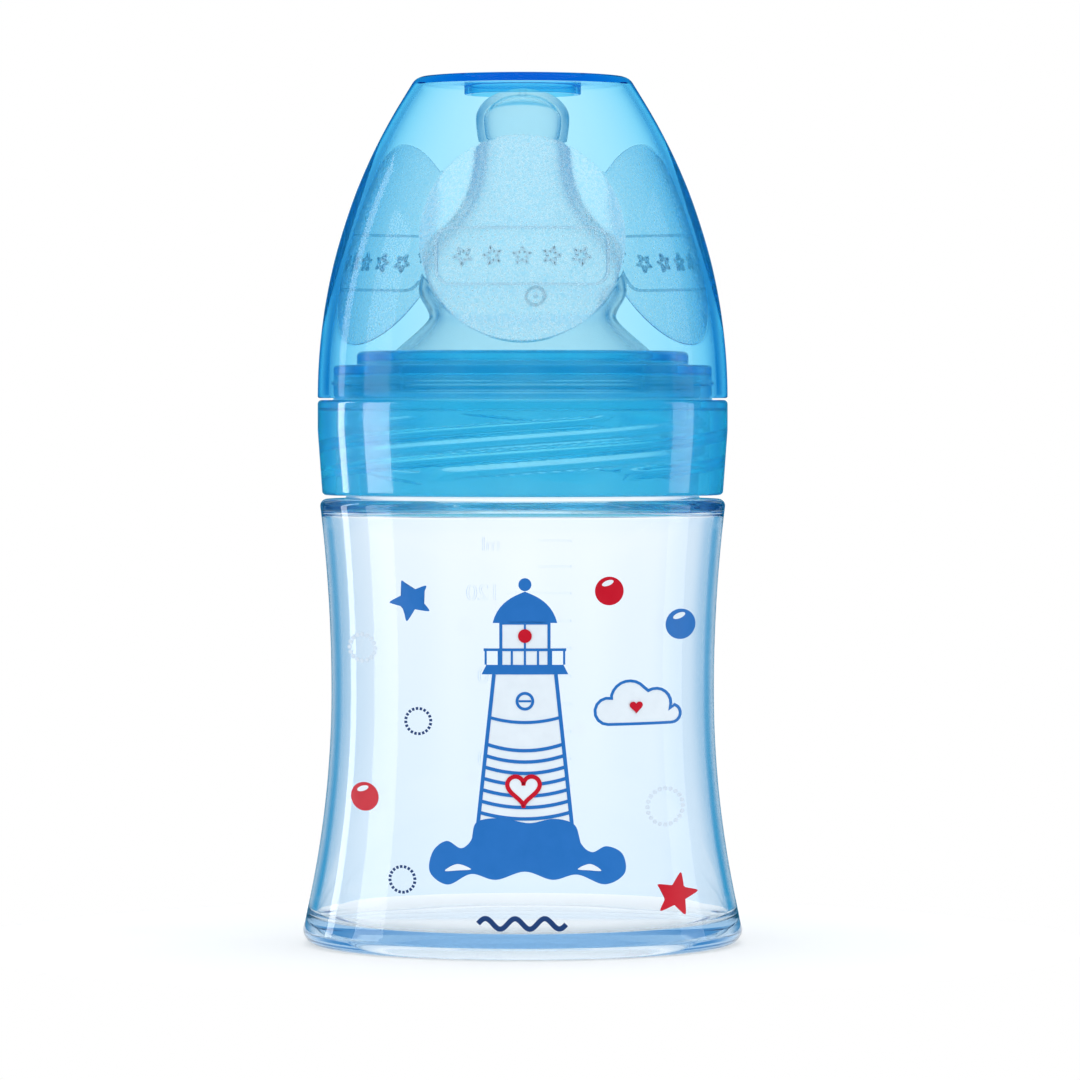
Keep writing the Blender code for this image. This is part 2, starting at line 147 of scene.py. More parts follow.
class CapSizes(PropertyGroup):
    wall: length("Wall", 0.0016, "Thickness of the dome")
    top_radius: length("Top radius", 0.0158, "Radius of the flat top, before its corner")
    top_wall: length("Top wall", 0.0013, "Thickness of the flat top")
    top_corner: length("Top corner", 0.0020, "Rounding of the top")
    ring_radius: length("Ring radius", 0.00875, "Sealing ring under the top")
    ring_wall: length("Ring wall", 0.0010, "Thickness of the sealing ring")
    ring_depth: length("Ring depth", 0.0014, "How far the sealing ring hangs down")
    ovals: IntProperty(name="Ovals", default=3, min=1, description="Frosted ovals round the cap")
    oval_radius: length("Oval radius", 0.0155, "Radius of a frosted oval, seen straight on")
    oval_rise: length("Oval rise", 0.0234, "Height of an oval's centre above the lower edge")
    oval_depth: length("Oval depth", 0.0003, "How far an oval is sunk into the wall")
    plate_width: length("Plate width", 0.0250, "Framed plate across an oval")
    plate_height: length("Plate height", 0.0083, "Height of the framed plate")
    plate_drop: length("Plate drop", 0.0027, "How far the plate sits under the oval's centre")


class Finishes(PropertyGroup):
    body_tint: colour("Body tint", (0.63, 0.80, 0.92), "What the body's plastic lets through")
    body_depth: number("Body depth", 60, "How strongly the body's plastic colours light")
    collar_tint: colour("Collar tint", (0.09, 0.90, 0.985), "What the collar lets through")
    collar_depth: number("Collar depth", 480, "How strongly the collar colours light")
    cap_tint: colour("Cap tint", (0.10, 0.775, 0.95), "What the cap lets through")
    cap_depth: number("Cap depth", 300, "How strongly the cap colours light")
    silicone_tint: colour("Silicone tint", (0.50, 0.42, 0.36), "What the silicone lets through")
    silicone_depth: number("Silicone depth", 24, "How strongly the silicone colours light")
    blue_ink: colour("Blue ink", (0.019, 0.165, 0.50), "Main ink")
    navy_ink: colour("Navy ink", (0.012, 0.045, 0.16), "Ink of the dotted rings")
    red_ink: colour("Red ink", (0.62, 0.002, 0.017), "Ink of the heart, a star and two balls")
    white_ink: colour("White ink", (0.86, 0.88, 0.90), "Ink under the picture")
    pale_ink: colour("Pale ink", (0.70, 0.76, 0.82), "Ink of the two beaded rings")


class StageSizes(PropertyGroup):
    camera_distance: length("Camera distance", 0.95, "From the bottle's axis to the camera")
    camera_height: length("Camera height", 0.080, "Height of the camera")
    aim_height: length("Aim height", 0.0605, "Height that the camera looks at")
    shift_side: length("Side shift", 0.0026, "How far the camera stands to the right")
    lens: FloatProperty(name="Lens", default=211, description="Focal length in millimetres")
    floor_radius: length("Floor radius", 0.085, "Radius of the pale floor")


class BottleSettings(PropertyGroup):
    body: PointerProperty(type=BodySizes, name="Body", description="Sizes of the body")
    thread: PointerProperty(type=ThreadSizes, name="Thread", description="Sizes of the thread")
    teat: PointerProperty(type=TeatSizes, name="Teat", description="Sizes of the teat")
    collar: PointerProperty(type=CollarSizes, name="Collar", description="Sizes of the collar")
    cap: PointerProperty(type=CapSizes, name="Cap", description="Sizes of the cap")
    finishes: PointerProperty(type=Finishes, name="Finishes", description="Tints and inks")
    stage: PointerProperty(type=StageSizes, name="Stage", description="Camera and floor")


# ---------------------------------------------------------------- finishes
class Value:
    """A shader socket that Python's operators work on."""

    def __init__(self, finish, socket):
        self.finish = finish
        self.socket = socket

    def math(self, operation, *values, clamp=False):
        how = {"operation": operation, "use_clamp": clamp}
        return self.finish.node("ShaderNodeMath", how, dict(enumerate(values)))

    def beside(self, output):
        """Another output of the same node."""
        return Value(self.finish, self.socket.node.outputs[output])

    def __add__(self, other):
        return self.math("ADD", self, other)

    def __sub__(self, other):
        return self.math("SUBTRACT", self, other)

    def __rsub__(self, other):
        return self.math("SUBTRACT", other, self)

    def __mul__(self, other):
        return self.math("MULTIPLY", self, other)

    def __pow__(self, other):
        return self.math("POWER", self, other)

    __radd__ = __add__
    __rmul__ = __mul__


class Finish:
    """A material or world that is built node by node."""

    def __init__(self, name, owner=None):
        self.owner = owner or bpy.data.materials.new(name)
        self.owner.use_nodes = True
        self.tree = self.owner.node_tree
        self.tree.nodes.clear()

    def node(self, kind, settings=None, values=None, output=0):
        made = self.tree.nodes.new(kind)
        for key, value in (settings or {}).items():
            setattr(made, key, value)
        for key, value in (values or {}).items():
            if isinstance(value, Value):
                self.tree.links.new(value.socket, made.inputs[key])
            else:
                made.inputs[key].default_value = value
        return Value(self, made.outputs[output])

    def noise(self, scale, detail=2.0):
        place = self.node("ShaderNodeTexCoord", output="Object")
        values = {"Vector": place, "Scale": scale, "Detail": detail}
        return self.node("ShaderNodeTexNoise", None, values)

    def mix(self, factor, first, second):
        values = {0: factor, 6: first, 7: second}
        return self.node("ShaderNodeMix", {"data_type": "RGBA"}, values, 2)

    def bump(self, height, distance, strength):
        values = {"Height": height, "Distance": distance, "Strength": strength}
        return self.node("ShaderNodeBump", None, values)

    def attribute(self, name):
        return self.node("ShaderNodeAttribute", {"attribute_name": name}, output="Fac")

    def light_path(self, ray):
        return self.node("ShaderNodeLightPath", output=ray)

    def principled(self, values):
        return self.node("ShaderNodeBsdfPrincipled", None, values)

    def blend(self, share, first, second):
        """The second surface over the first, by a share."""
        return self.node("ShaderNodeMixShader", None, {0: share, 1: first, 2: second})

    def absorption(self, tint, depth):
        values = {"Color": solid_colour(tint), "Density": depth}
        return self.node("ShaderNodeVolumeAbsorption", None, values)

    def done(self, surface, volume=None, end="ShaderNodeOutputMaterial"):
        made = self.tree.nodes.new(end)
        self.tree.links.new(surface.socket, made.inputs["Surface"])
        if volume:
            self.tree.links.new(volume.socket, made.inputs["Volume"])
        return self.owner


WHITE = (1.0, 1.0, 1.0, 1.0)
DENSE_BLUE = (0.42, 0.80, 0.92, 1.0)  # of the cap's sealing ring
FROST_BLUE = (0.50, 0.82, 0.96, 1.0)  # between the grains of the frosted ovals
MILK_SHARE = 0.26  # how far a cloudy plastic hides what is behind it


def solid_colour(rgb):
    return (*rgb, 1.0)


def known(name):
    return bpy.data.materials.get(name)


def clear_plastic(name, tint, depth, bend, coat, frosted=False, milk=None):
    """Glossy moulded plastic that colours the light going through it. A milk colour clouds the
    whole of it. Where a frosted one's mesh says frost, its surface is fine matt grain, and where
    it says dense, it is a deeper blue."""
    if known(name):
        return known(name)
    finish = Finish(name)
    flow = finish.noise(55.0)
    shade = finish.mix(flow, (0.97, 0.985, 1.0, 1.0), WHITE)
    if frosted:
        shade = finish.mix(finish.attribute("dense"), shade, DENSE_BLUE)
    surface = finish.principled({
        "Base Color": shade,
        "Roughness": 0.015 + 0.03 * flow,
        "IOR": bend,
        "Transmission Weight": 1.0,
        "Coat Weight": coat,
        "Coat Roughness": 0.06,
        "Normal": finish.bump(flow, 0.00012, 0.35),
    })
    if milk:
        cloud = finish.noise(130.0)
        paler = tuple(0.8 * c + 0.2 for c in milk)
        cloudy = finish.principled({
            "Base Color": finish.mix(0.25 * cloud, solid_colour(milk), solid_colour(paler)),
            "Roughness": 0.25 + 0.1 * cloud,
            "Coat Weight": coat,
            "Coat Roughness": 0.10,
        })
        surface = finish.blend(MILK_SHARE, surface, cloudy)
    if frosted:
        grain = finish.noise(2300.0, 3.0)
        speck = grain.math("SUBTRACT", grain * 2.2, 0.6, clamp=True)
        matt = finish.principled({
            "Base Color": finish.mix(speck, FROST_BLUE, WHITE),
            "Roughness": 0.16 + 0.16 * speck,
            "IOR": 1.15,
            "Transmission Weight": 0.80,
            "Normal": finish.bump(grain, 0.00006, 0.5),
        })
        surface = finish.blend(finish.attribute("frost"), surface, matt)
    return finish.done(surface, finish.absorption(tint, depth))


def silicone(name, tint, depth):
    """Soft clear silicone: satin, a little cloudy, greyer where it is thicker."""
    if known(name):
        return known(name)
    finish = Finish(name)
    cloud = finish.noise(140.0)
    skin = finish.noise(1500.0, 3.0)
    surface = finish.principled({
        "Base Color": finish.mix(cloud, (0.95, 0.97, 0.98, 1.0), WHITE),
        "Roughness": 0.10 + 0.12 * skin,
        "IOR": 1.08,
        "Transmission Weight": 0.97,
        "Coat Weight": 0.2,
        "Coat Roughness": 0.12,
        "Normal": finish.bump(skin, 0.00004, 0.4),
    })
    return finish.done(surface, finish.absorption(tint, depth))


def ink(name):
    """Screen-printed ink: opaque, satin, with slightly uneven cover."""
    if known(name):
        return known(name)
    rgb = getattr(settings().finishes, name)
    finish = Finish(name)
    cover = finish.noise(420.0, 3.0)
    tooth = finish.noise(5200.0)
    lighter = tuple(min(1.0, c * 1.12 + 0.008) for c in rgb)
    return finish.done(finish.principled({
        "Base Color": finish.mix(cover, solid_colour(rgb), solid_colour(lighter)),
        "Roughness": 0.32 + 0.14 * cover,
        "Specular IOR Level": 0.12,
        "Normal": finish.bump(tooth, 0.00001, 0.4),
    }))


def pale_floor(name):
    """Matt pale card that also glows a little, to meet the white round it."""
    finish = Finish(name)
    grain = finish.noise(40.0)
    return finish.done(finish.principled({
        "Base Color": finish.mix(grain, (0.62, 0.62, 0.62, 1.0), (0.65, 0.65, 0.65, 1.0)),
        "Roughness": 0.75 + 0.1 * grain,
        "Specular IOR Level": 0.2,
        "Emission Color": WHITE,
        "Emission Strength": 0.36,
    }))


# ---------------------------------------------------------------- outlines
def fillet(before, corner, after, radius):
    """Arc that rounds one corner of an outline, no longer than half of either side."""
    corner = Vector(corner)
    back = Vector(before) - corner
    ahead = Vector(after) - corner
    half_angle = back.angle(ahead) / 2
    reach = min(radius / tan(half_angle), 0.48 * back.length, 0.48 * ahead.length)
    radius = reach * tan(half_angle)
    middle = (back.normalized() + ahead.normalized()).normalized()
    centre = corner + middle * (radius / sin(half_angle))
    first = corner + back.normalized() * reach - centre
    sweep = first.angle_signed(corner + ahead.normalized() * reach - centre)
    count = max(3, ceil(degrees(abs(sweep)) / 12))
    points = []
    for i in range(count + 1):
        angle = -sweep * i / count
        x = first.x * cos(angle) - first.y * sin(angle)
        y = first.x * sin(angle) + first.y * cos(angle)
        points.append((centre.x + x, centre.y + y))
    return points


def rounded(corners, closed):
    """Outline from (radius, height, fillet radius) corners, a fillet of 0 being a plain point."""
    outline = []
    last = len(corners) - 1
    for i, (r, z, radius) in enumerate(corners):
        if radius == 0 or (not closed and i in (0, last)):
            outline.append((r, z))
        else:
            after = corners[(i + 1) % len(corners)][:2]
            outline += fillet(corners[i - 1][:2], (r, z), after, radius)
    return outline


def plain(points):
    return [(r, z, 0) for r, z in points]


def between(high, low, step):
    """Heights from just under high to just over low, about a step apart."""
    count = max(1, round((high - low) / step))
    return [high + (low - high) * i / count for i in range(1, count)]


def bezier(start, handle_a, handle_b, end, count):
    """Points along a cubic curve, without its first."""
    points = []
    for i in range(1, count + 1):
        t = i / count
        u = 1 - t
        weights = (u**3, 3 * u * u * t, 3 * u * t * t, t**3)
        corners = (start, handle_a, handle_b, end)
        points.append(
            tuple(sum(w * c[axis] for w, c in zip(weights, corners)) for axis in (0, 1))
        )
    return points


def inset(points, distance):
    """The same curve moved in from its outer side, for a wall of even thickness."""
    moved = []
    for i, (r, z) in enumerate(points):
        before = points[max(i - 1, 0)]
        after = points[min(i + 1, len(points) - 1)]
        along = Vector((after[0] - before[0], after[1] - before[1])).normalized()
        moved.append((r + along.y * distance, z - along.x * distance))
    return moved


def arc_bow(height, lean, rise):
    """How far an arc that starts upright has leant over after a rise, if it leans over by
    lean at the full height."""
    radius = (height**2 + lean**2) / (2 * lean)
    return radius - sqrt(radius**2 - rise**2)


def body_radius(body, z):
    """Outside of the body: two arcs that meet upright at the waist."""
    if z < body.waist_height:
        height = body.waist_height - body.base_corner
        rise = min(body.waist_height - z, height)
        return body.waist_radius + arc_bow(height, body.base_radius - body.waist_radius, rise)
    height = body.shoulder_height - body.waist_height
    flare = body.shoulder_radius - body.waist_radius
    return body.waist_radius + arc_bow(height, flare, min(z - body.waist_height, height))


def cap_radius(cap, z):
    """Outside of the cap: one arc, upright at the lower edge."""
    return CAP_HIGH.x - arc_bow(CAP_HIGH.z - CAP_LOW.z, CAP_HIGH.x - cap.top_radius, z - CAP_LOW.z)


def smooth_step(share):
    share = min(1, max(0, share))
    return share * share * (3 - 2 * share)


def ridge_height(thread, angle, z, first_angle):
    """How far the thread's ridges stand off their wall at an angle and a height."""
    sweep = 2 * pi * thread.rise / thread.lead
    run_out = radians(14)
    tallest = 0
    for start in range(thread.starts):
        along = (angle - first_angle - 2 * pi * start / thread.starts) % (2 * pi)
        across = (z - thread.low - thread.lead * along / (2 * pi)) / thread.half_width
        if along < sweep and abs(across) < 1:
            ends = smooth_step(along / run_out) * smooth_step((sweep - along) / run_out)
            tallest = max(tallest, thread.crest * ends * (1 - across**2) ** 0.6)
    return tallest


# ---------------------------------------------------------------- mesh making
def turned(outline, sides, closed, push=None):
    """Surface of an outline turned about Z; push(r, z, angle) moves a point along its radius."""
    work = bmesh.new()
    rings = []
    for r, z in outline:
        ring = []
        for i in range(sides if r > 0 else 1):
            angle = 2 * pi * i / sides
            reach = r + push(r, z, angle) if push else r
            ring.append(work.verts.new((reach * cos(angle), reach * sin(angle), z)))
        rings.append(ring)
    pairs = list(zip(rings, rings[1:]))
    if closed:
        pairs.append((rings[-1], rings[0]))
    for upper, lower in pairs:
        for i in range(sides):
            j = (i + 1) % sides
            if len(upper) == 1:
                work.faces.new((upper[0], lower[i], lower[j]))
            elif len(lower) == 1:
                work.faces.new((upper[i], lower[0], upper[j]))
            else:
                work.faces.new((upper[i], lower[i], lower[j], upper[j]))
    return work


def make_piece(name, work, body, finish, stands_for=None):
    """Puts a finished mesh in the scene, riding on its body."""
    bmesh.ops.recalc_face_normals(work, faces=work.faces)
    mesh = bpy.data.meshes.new(name)
    work.to_mesh(mesh)
    work.free()
    mesh.shade_smooth()
    mesh.set_sharp_from_angle(angle=radians(42))
    mesh.materials.append(finish)
    thing = bpy.data.objects.new(name, mesh)
    bpy.context.scene.collection.objects.link(thing)
    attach(thing, body)
    if stands_for:
        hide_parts(stands_for)
    return thing


class Sheet:
    """Flat shapes in millimetres, wrapped on a turned wall as thin closed layers."""

    STRIPS = (0.7, 1.5)  # across and up: cells small enough to follow the wall

    def __init__(self):
        self.work = bmesh.new()

    def fill(self, points):
        face = self.work.faces.new([self.work.verts.new((x, 0, z)) for x, z in points])
        bmesh.ops.triangulate(self.work, faces=[face])

    def stroke(self, points, width, closed=False):
        """A line of even width with mitred corners."""
        sides = ([], [])
        count = len(points)
        for i, (x, z) in enumerate(points):
            before = Vector(points[i - 1] if closed or i else points[0])
            after = Vector(points[(i + 1) % count] if closed or i < count - 1 else points[-1])
            here = Vector((x, z))
            into = (here - before) if here != before else (after - here)
            out = (after - here) if after != here else (here - before)
            normal = Vector((-into.y, into.x)).normalized() + Vector((-out.y, out.x)).normalized()
            normal.normalize()
            square = max(0.5, normal.dot(Vector((-out.y, out.x)).normalized()))
            offset = normal * (width / 2 / square)
            for side, sign in zip(sides, (1, -1)):
                spot = here + offset * sign
                side.append(self.work.verts.new((spot.x, 0, spot.y)))
        for i in range(count if closed else count - 1):
            j = (i + 1) % count
            self.work.faces.new((sides[0][i], sides[1][i], sides[1][j], sides[0][j]))

    def wrap(self, radius_at, facing, low, high):
        """Closed layer between two heights above the wall, centred on an angle about Z."""
        for axis, step in ((0, self.STRIPS[0]), (2, self.STRIPS[1])):
            spots = [v.co[axis] for v in self.work.verts]
            plane = Vector((axis == 0, 0, axis == 2))
            cut = step * ceil(min(spots) / step)
            while cut < max(spots):
                everything = self.work.verts[:] + self.work.edges[:] + self.work.faces[:]
                bmesh.ops.bisect_plane(
                    self.work, geom=everything, plane_co=plane * cut, plane_no=plane, dist=1e-5
                )
                cut += step
        layer = bmesh.new()
        copies = {}
        for vert in self.work.verts:
            x, z = vert.co.x * MM, vert.co.z * MM
            wall = radius_at(z)
            angle = facing + asin(max(-1, min(1, x / wall)))
            spots = [
                layer.verts.new(((wall + lift) * cos(angle), (wall + lift) * sin(angle), z))
                for lift in (high, low)
            ]
            copies[vert] = spots
        for face in self.work.faces:
            layer.faces.new([copies[v][0] for v in face.verts])
            layer.faces.new([copies[v][1] for v in reversed(face.verts)])
        for edge in self.work.edges:
            if len(edge.link_faces) == 1:
                a, b = edge.verts
                layer.faces.new((copies[a][0], copies[b][0], copies[b][1], copies[a][1]))
        self.work.free()
        return layer


def circle(x, z, radius, count=40, first=0.0):
    points = []
    for i in range(count):
        angle = first + 2 * pi * i / count
        points.append((x + radius * cos(angle), z + radius * sin(angle)))
    return points


def star(x, z, radius, lean):
    """Plump five-armed star with rounded tips."""
    valley = 0.41 * radius
    half = pi / 5
    points = []
    for i in range(120):
        angle = 2 * pi * i / 120
        off_tip = hypot((angle + half) % (2 * half) - half, 0.05)
        reach = radius * valley * sin(half)
        reach /= radius * sin(off_tip) + valley * sin(half - off_tip)
        points.append((x + reach * sin(angle + lean), z + reach * cos(angle + lean)))
    return points


def heart(x, z, width):
    points = []
    for i in range(60):
        t = 2 * pi * (i + 0.5) / 60
        across = 16 * sin(t) ** 3
        up = 13 * cos(t) - 5 * cos(2 * t) - 2 * cos(3 * t) - cos(4 * t)
        points.append((x + across * width / 32, z + up * width / 32))
    return points


def smooth_loop(corners, count=8):
    """Closed curve through its corners."""
    points = []
    total = len(corners)
    for i in range(total):
        a, b, c, d = (Vector(corners[(i + k) % total]) for k in (-1, 0, 1, 2))
        handle_a = b + (c - a) / 6
        handle_b = c - (d - b) / 6
        points += bezier(tuple(b), tuple(handle_a), tuple(handle_b), tuple(c), count)
    return points


def plate_outline(width, height, z, corner):
    """Rounded rectangle in millimetres, centred on x = 0."""
    points = []
    for sign_x, sign_z, first in ((1, 1, 0), (-1, 1, 90), (-1, -1, 180), (1, -1, 270)):
        for i in range(7):
            angle = radians(first + 15 * i)
            points.append(
                (
                    sign_x * (width / 2 - corner) + corner * cos(angle),
                    z + sign_z * (height / 2 - corner) + corner * sin(angle),
                )
            )
    return points


# ---------------------------------------------------------------- pieces
FRONT = -pi / 2
BACK = pi / 2
SIDES = 240  # facets round the body and the collar
TEAT_SIDES = 160
VENTS = 3
FIRST_VENT = 7  # degrees round to the right of the front
VENT_OVER_FOLD = 0.0026
VENT_TINT, VENT_DEPTH = (0.20, 0.25, 0.34), 2600  # darker silicone of the vents' rims
INK_LIFT = 0.02 * MM  # first layer of ink above the body's wall
INK_STEP = 0.05 * MM  # from one layer of ink to the next
INK_THICKNESS = 0.045 * MM


def settings():
    return bpy.context.scene.baby_bottle


def body_plastic():
    finishes = settings().finishes
    tint, depth = finishes.body_tint, finishes.body_depth
    return clear_plastic("pale_blue_plastic", tint, depth, bend=1.20, coat=0.06)


def collar_plastic():
    finishes = settings().finishes
    tint, depth = finishes.collar_tint, finishes.collar_depth
    milk = (0.035, 0.64, 1.0)
    return clear_plastic("sky_blue_plastic", tint, depth, bend=1.18, coat=0.5, milk=milk)


def cap_plastic():
    finishes = settings().finishes
    tint, depth = finishes.cap_tint, finishes.cap_depth
    return clear_plastic("clear_blue_plastic", tint, depth, bend=1.06, coat=0.12, frosted=True)


def raised_plastic():
    finishes = settings().finishes
    tint, depth, milk = finishes.cap_tint, finishes.cap_depth, (0.72, 0.90, 1.0)
    return clear_plastic("raised_lines", tint, depth, bend=1.2, coat=0.5, milk=milk)


class MakeBody(Operator):
    """Turn the clear body with its waist, pushed-up base and three-start neck thread"""

    bl_idname = "baby_bottle.body"
    bl_label = "Body"

    def execute(self, context):
        body = settings().body
        thread = settings().thread
        side_top = body.shoulder_height - 1.6 * body.shoulder_corner
        side = [side_top] + between(side_top, body.base_corner, 0.0008)
        floor = body.push_up + body.floor
        ceiling = body.shoulder_height - body.wall
        bore = body.neck_radius - body.neck_wall
        foot_inner = body.base_radius - body.base_corner - body.foot_width
        thread_rows = between(thread.low + thread.rise + 0.0012, thread.low - 0.0012, 0.00015)
        corners = [(0, floor, 0), (body.base_radius - body.wall - 0.0002, floor, 0.003)]
        inner = [z for z in reversed(side) if floor + 0.003 < z < ceiling - 0.002]
        corners += plain((body_radius(body, z) - body.wall, z) for z in inner)
        corners += [
            (body.shoulder_radius - body.wall, ceiling, 0.0016),
            (bore, ceiling + 0.0004, 0.0008),
            (bore, body.rim_height, 0.0005),
            (body.neck_radius, body.rim_height, 0.0006),
        ]
        corners += plain((body.neck_radius, z) for z in thread_rows)
        corners += [
            (body.neck_radius, body.shoulder_height, 0.0006),
            (body.shoulder_radius, body.shoulder_height, body.shoulder_corner),
        ]
        corners += plain((body_radius(body, z), z) for z in side)
        for i in range(9):
            angle = pi / 2 * i / 9
            r = body.base_radius - body.base_corner * (1 - cos(angle))
            corners.append((r, body.base_corner * (1 - sin(angle)), 0))
        corners += [
            (body.base_radius - body.base_corner, 0, 0),
            (foot_inner, 0, 0.0004),
            (foot_inner - body.push_up * 0.6, body.push_up, 0.0006),
            (0, body.push_up, 0),
        ]

        def push(r, z, angle):
            on_neck = abs(r - body.neck_radius) < 1e-7 and thread_rows[-1] <= z <= thread_rows[0]
            return ridge_height(thread, angle, z, 0) if on_neck else 0

        work = turned(rounded(corners, False), SIDES, False, push)
        make_piece("bottle_body", work, "bottle", body_plastic(), "bottle")
        return {"FINISHED"}


def teat_curve(teat):
    """Outside of the teat from its foot up to the flow hole."""
    foot_z = TEAT_LOW.z + teat.flange_thickness + teat.foot_rise
    tuck_z = foot_z + teat.tuck_rise
    bell_z = tuck_z + teat.bell_rise
    shoulder_z = bell_z + teat.shoulder_rise
    waist_z = shoulder_z + teat.waist_rise
    bulb_z = waist_z + teat.nipple_rise
    foot = (teat.foot_radius, foot_z)
    tuck = (teat.tuck_radius, tuck_z)
    bell = (teat.bell_radius, bell_z)
    shoulder = (teat.shoulder_radius, shoulder_z)
    waist = (teat.waist_radius, waist_z)
    bulb = (teat.nipple_radius, bulb_z)
    lean = (teat.bell_radius - teat.shoulder_radius) / 2
    drop = teat.shoulder_rise / 4
    spread = 0.3 * teat.tuck_rise
    stretches = (
        (foot, (-spread, spread), (0, -0.2 * teat.tuck_rise), tuck, 16),
        (tuck, (0, 0.3 * teat.bell_rise), (0, -0.4 * teat.bell_rise), bell, 12),
        (bell, (0, 0.4 * teat.shoulder_rise), (lean, -drop), shoulder, 18),
        (shoulder, (-lean * 1.5, drop * 1.1), (0, -0.58 * teat.waist_rise), waist, 26),
        (waist, (0, 0.5 * teat.nipple_rise), (0, -0.5 * teat.nipple_rise), bulb, 10),
    )
    points = [foot]
    for start, leave, arrive, end, count in stretches:
        handle_a = (start[0] + leave[0], start[1] + leave[1])
        handle_b = (end[0] + arrive[0], end[1] + arrive[1])
        points += bezier(start, handle_a, handle_b, end, count)
    crown = TEAT_HIGH.z - bulb_z
    top_angle = asin(teat.hole_radius / teat.nipple_radius)
    for i in range(1, 19):
        angle = pi / 2 - (pi / 2 - top_angle) * i / 18
        points.append((teat.nipple_radius * sin(angle), bulb_z + crown * cos(angle)))
    return points


def radius_on(points):
    """Radius of an outline at a height, read between its points from the bottom up."""

    def read(z):
        for (r0, z0), (r1, z1) in zip(points, points[1:]):
            if z0 <= z <= z1:
                return r0 + (r1 - r0) * (z - z0) / max(z1 - z0, 1e-9)
        return points[-1][0]

    return read


class MakeTeat(Operator):
    """Turn the soft teat, with its air vents"""

    bl_idname = "baby_bottle.teat"
    bl_label = "Teat"

    def execute(self, context):
        teat = settings().teat
        finishes = settings().finishes
        outer = teat_curve(teat)
        inner = [p for p in inset(outer, -teat.wall) if p[0] > teat.hole_radius]
        inner[-1] = (teat.hole_radius, inner[-1][1])
        low = TEAT_LOW.z
        flange_top = low + teat.flange_thickness
        step_top = flange_top + teat.step_height
        corners = plain(reversed(outer))
        corners += [
            (teat.foot_radius, step_top, 0.0004),
            (teat.step_radius, step_top, 0.0004),
            (teat.step_radius, flange_top, 0.0002),
            (TEAT_HIGH.x, flange_top, 0.0004),
            (TEAT_HIGH.x, low, 0.0004),
            (teat.foot_radius - teat.wall, low, 0.0010),
        ]
        corners += plain(inner)
        skin = silicone("clear_silicone", finishes.silicone_tint, finishes.silicone_depth)
        work = turned(rounded(corners, True), TEAT_SIDES, True)
        make_piece("teat_silicone", work, "teat", skin, "teat")
        dark_rim = silicone("vent_silicone", VENT_TINT, VENT_DEPTH)
        wall = radius_on(outer)
        vent_z = (flange_top + teat.foot_rise + teat.tuck_rise + VENT_OVER_FOLD) / MM
        for i in range(VENTS):
            vents = Sheet()
            vents.stroke(circle(0, vent_z, teat.vent_radius / MM, 32), 0.42, True)
            vents.fill(circle(0, vent_z, 0.28, 16))
            facing = FRONT + radians(FIRST_VENT + 360 / VENTS * i)
            layer = vents.wrap(wall, facing, -0.05 * MM, 0.22 * MM)
            make_piece(f"teat_vent_{i + 1}", layer, "teat", dark_rim)
        return {"FINISHED"}


class MakeCollar(Operator):
    """Turn the blue screw collar with its thread, cap step and snap bead"""

    bl_idname = "baby_bottle.collar"
    bl_label = "Collar"

    def execute(self, context):
        collar = settings().collar
        thread = settings().thread
        outer = CAP_HIGH.x
        ledge = collar.ledge_height
        bead_z = ledge + collar.bead_rise
        lip_top = COLLAR_HIGH.z
        lip_bore = collar.lip_radius - collar.top_wall
        tier_bore = collar.tier_radius - collar.top_wall
        bore_top = ledge - collar.top_wall
        rows = between(thread.low - 0.0012, thread.low + thread.rise + 0.0010, -0.00015)
        corners = [
            (collar.opening, lip_top, 0.0004),
            (collar.lip_radius, lip_top, 0.0008),
            (collar.lip_radius, collar.tier_height, 0.0003),
            (collar.tier_radius, collar.tier_height, 0.0005),
            (collar.tier_radius, bead_z + collar.bead, 0.0002),
            (collar.tier_radius + collar.bead, bead_z, 0.0003),
            (collar.tier_radius, bead_z - collar.bead, 0.0002),
            (collar.tier_radius, ledge, 0.0002),
            (outer, ledge, 0.0006),
            (outer, ledge - collar.straight, 0),
            (outer - collar.taper, COLLAR_LOW.z, 0.0006),
            (collar.bore, COLLAR_LOW.z, 0.0006),
        ]
        corners += plain((collar.bore, z) for z in rows)
        corners += [
            (collar.bore, bore_top, 0.0004),
            (tier_bore, bore_top, 0.0003),
            (tier_bore, collar.tier_height - collar.top_wall, 0.0003),
            (lip_bore, collar.tier_height - collar.top_wall, 0.0003),
            (lip_bore, lip_top - collar.top_wall, 0.0003),
            (collar.opening, lip_top - collar.top_wall, 0.0003),
        ]

        def push(r, z, angle):
            on_bore = abs(r - collar.bore) < 1e-7 and rows[0] <= z <= rows[-1]
            return -ridge_height(thread, angle, z, pi / thread.starts) if on_bore else 0

        work = turned(rounded(corners, True), SIDES, True, push)
        make_piece("screw_collar", work, "collar", collar_plastic(), "collar")
        return {"FINISHED"}


